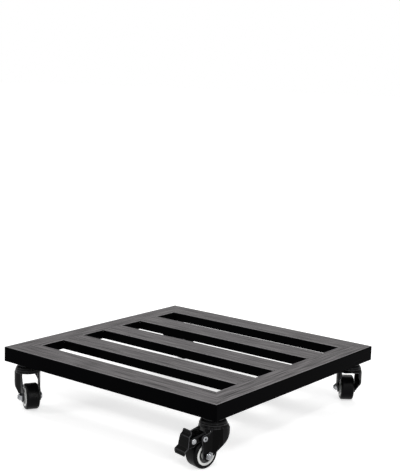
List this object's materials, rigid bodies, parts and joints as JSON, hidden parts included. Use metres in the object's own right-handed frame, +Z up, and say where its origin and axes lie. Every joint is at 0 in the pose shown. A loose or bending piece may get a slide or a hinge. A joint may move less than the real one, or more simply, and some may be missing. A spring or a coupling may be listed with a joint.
{
  "type": "plant caddy",
  "caption": "Square rolling plant caddy: a flat slatted black steel frame on small swivel casters at its corners, with foot brakes on one diagonal.",
  "frame": {"origin": "on the floor, under the centre of the square frame", "axes": "+X to the right along the slats, +Y to the back across the slats, +Z up"},
  "size_m": [0.4, 0.4608, 0.091],
  "materials": {
    "frame_paint": "satin black powder coat on folded steel",
    "caster_steel": "semi-gloss black coat on pressed steel",
    "zinc": "bright zinc plate",
    "bearing_steel": "ground steel",
    "wheel_core": "moulded pale grey plastic",
    "tyre": "matt black moulded rubber",
    "hub_cover": "moulded black plastic",
    "brake_rubber": "matt black rubber"
  },
  "bodies": {
    "frame": {"front_rail": "frame_paint", "back_rail": "frame_paint", "left_rail": "frame_paint", "right_rail": "frame_paint", "front_slat": "frame_paint", "middle_slat": "frame_paint", "back_slat": "frame_paint", "corner_plate_front_left": "frame_paint", "corner_plate_front_right": "frame_paint", "corner_plate_back_right": "frame_paint", "corner_plate_back_left": "frame_paint", "stem_front_left": "zinc", "stem_front_right": "zinc", "stem_back_right": "zinc", "stem_back_left": "zinc", "stem_nuts": "zinc", "upper_race_front_left": "caster_steel", "upper_race_front_right": "caster_steel", "upper_race_back_right": "caster_steel", "upper_race_back_left": "caster_steel"},
    "swivel_front_left": {"fork_front_left": "caster_steel", "swivel_balls_front_left": "bearing_steel", "axle_bolt_front_left": "zinc", "axle_nut_front_left": "zinc"},
    "wheel_front_left": {"wheel_core_front_left": "wheel_core", "tyre_front_left": "tyre", "hub_covers_front_left": "hub_cover", "axle_bush_front_left": "bearing_steel"},
    "swivel_front_right": {"fork_front_right": "caster_steel", "swivel_balls_front_right": "bearing_steel", "axle_bolt_front_right": "zinc", "axle_nut_front_right": "zinc", "brake_pin_front_right": "zinc"},
    "wheel_front_right": {"wheel_core_front_right": "wheel_core", "tyre_front_right": "tyre", "hub_covers_front_right": "hub_cover", "axle_bush_front_right": "bearing_steel"},
    "pedal_front_right": {"brake_pedal_front_right": "caster_steel", "shoe_pin_front_right": "zinc", "brake_shoe_front_right": "brake_rubber"},
    "swivel_back_right": {"fork_back_right": "caster_steel", "swivel_balls_back_right": "bearing_steel", "axle_bolt_back_right": "zinc", "axle_nut_back_right": "zinc"},
    "wheel_back_right": {"wheel_core_back_right": "wheel_core", "tyre_back_right": "tyre", "hub_covers_back_right": "hub_cover", "axle_bush_back_right": "bearing_steel"},
    "swivel_back_left": {"fork_back_left": "caster_steel", "swivel_balls_back_left": "bearing_steel", "axle_bolt_back_left": "zinc", "axle_nut_back_left": "zinc", "brake_pin_back_left": "zinc"},
    "wheel_back_left": {"wheel_core_back_left": "wheel_core", "tyre_back_left": "tyre", "hub_covers_back_left": "hub_cover", "axle_bush_back_left": "bearing_steel"},
    "pedal_back_left": {"brake_pedal_back_left": "caster_steel", "shoe_pin_back_left": "zinc", "brake_shoe_back_left": "brake_rubber"}
  },
  "joints": [
    {"name": "front_left_swivel", "type": "hinge", "parent": "frame", "child": "swivel_front_left", "pos_m": [-0.176, -0.174, 0.06], "axis": [0, 0, 1], "continuous": true},
    {"name": "front_left_wheel_spin", "type": "hinge", "parent": "swivel_front_left", "child": "wheel_front_left", "pos_m": [-0.15938, -0.18321, 0.0195], "axis": [0.4848, 0.8746, 0], "continuous": true},
    {"name": "front_right_swivel", "type": "hinge", "parent": "frame", "child": "swivel_front_right", "pos_m": [0.176, -0.174, 0.06], "axis": [0, 0, 1], "continuous": true},
    {"name": "front_right_wheel_spin", "type": "hinge", "parent": "swivel_front_right", "child": "wheel_front_right", "pos_m": [0.17205, -0.19259, 0.0195], "axis": [0.9781, -0.2079, 0], "continuous": true},
    {"name": "front_right_brake_pedal", "type": "hinge", "parent": "swivel_front_right", "child": "pedal_front_right", "pos_m": [0.17091, -0.19797, 0.0425], "axis": [0.9781, -0.2079, 0], "range_deg": [0, 18]},
    {"name": "back_right_swivel", "type": "hinge", "parent": "frame", "child": "swivel_back_right", "pos_m": [0.176, 0.174, 0.06], "axis": [0, 0, 1], "continuous": true},
    {"name": "back_right_wheel_spin", "type": "hinge", "parent": "swivel_back_right", "child": "wheel_back_right", "pos_m": [0.16404, 0.18877, 0.0195], "axis": [-0.7771, -0.6293, 0], "continuous": true},
    {"name": "back_left_swivel", "type": "hinge", "parent": "frame", "child": "swivel_back_left", "pos_m": [-0.176, 0.174, 0.06], "axis": [0, 0, 1], "continuous": true},
    {"name": "back_left_wheel_spin", "type": "hinge", "parent": "swivel_back_left", "child": "wheel_back_left", "pos_m": [-0.17205, 0.19259, 0.0195], "axis": [-0.9781, 0.2079, 0], "continuous": true},
    {"name": "back_left_brake_pedal", "type": "hinge", "parent": "swivel_back_left", "child": "pedal_back_left", "pos_m": [-0.17091, 0.19797, 0.0425], "axis": [-0.9781, 0.2079, 0], "range_deg": [0, 18]}
  ]
}
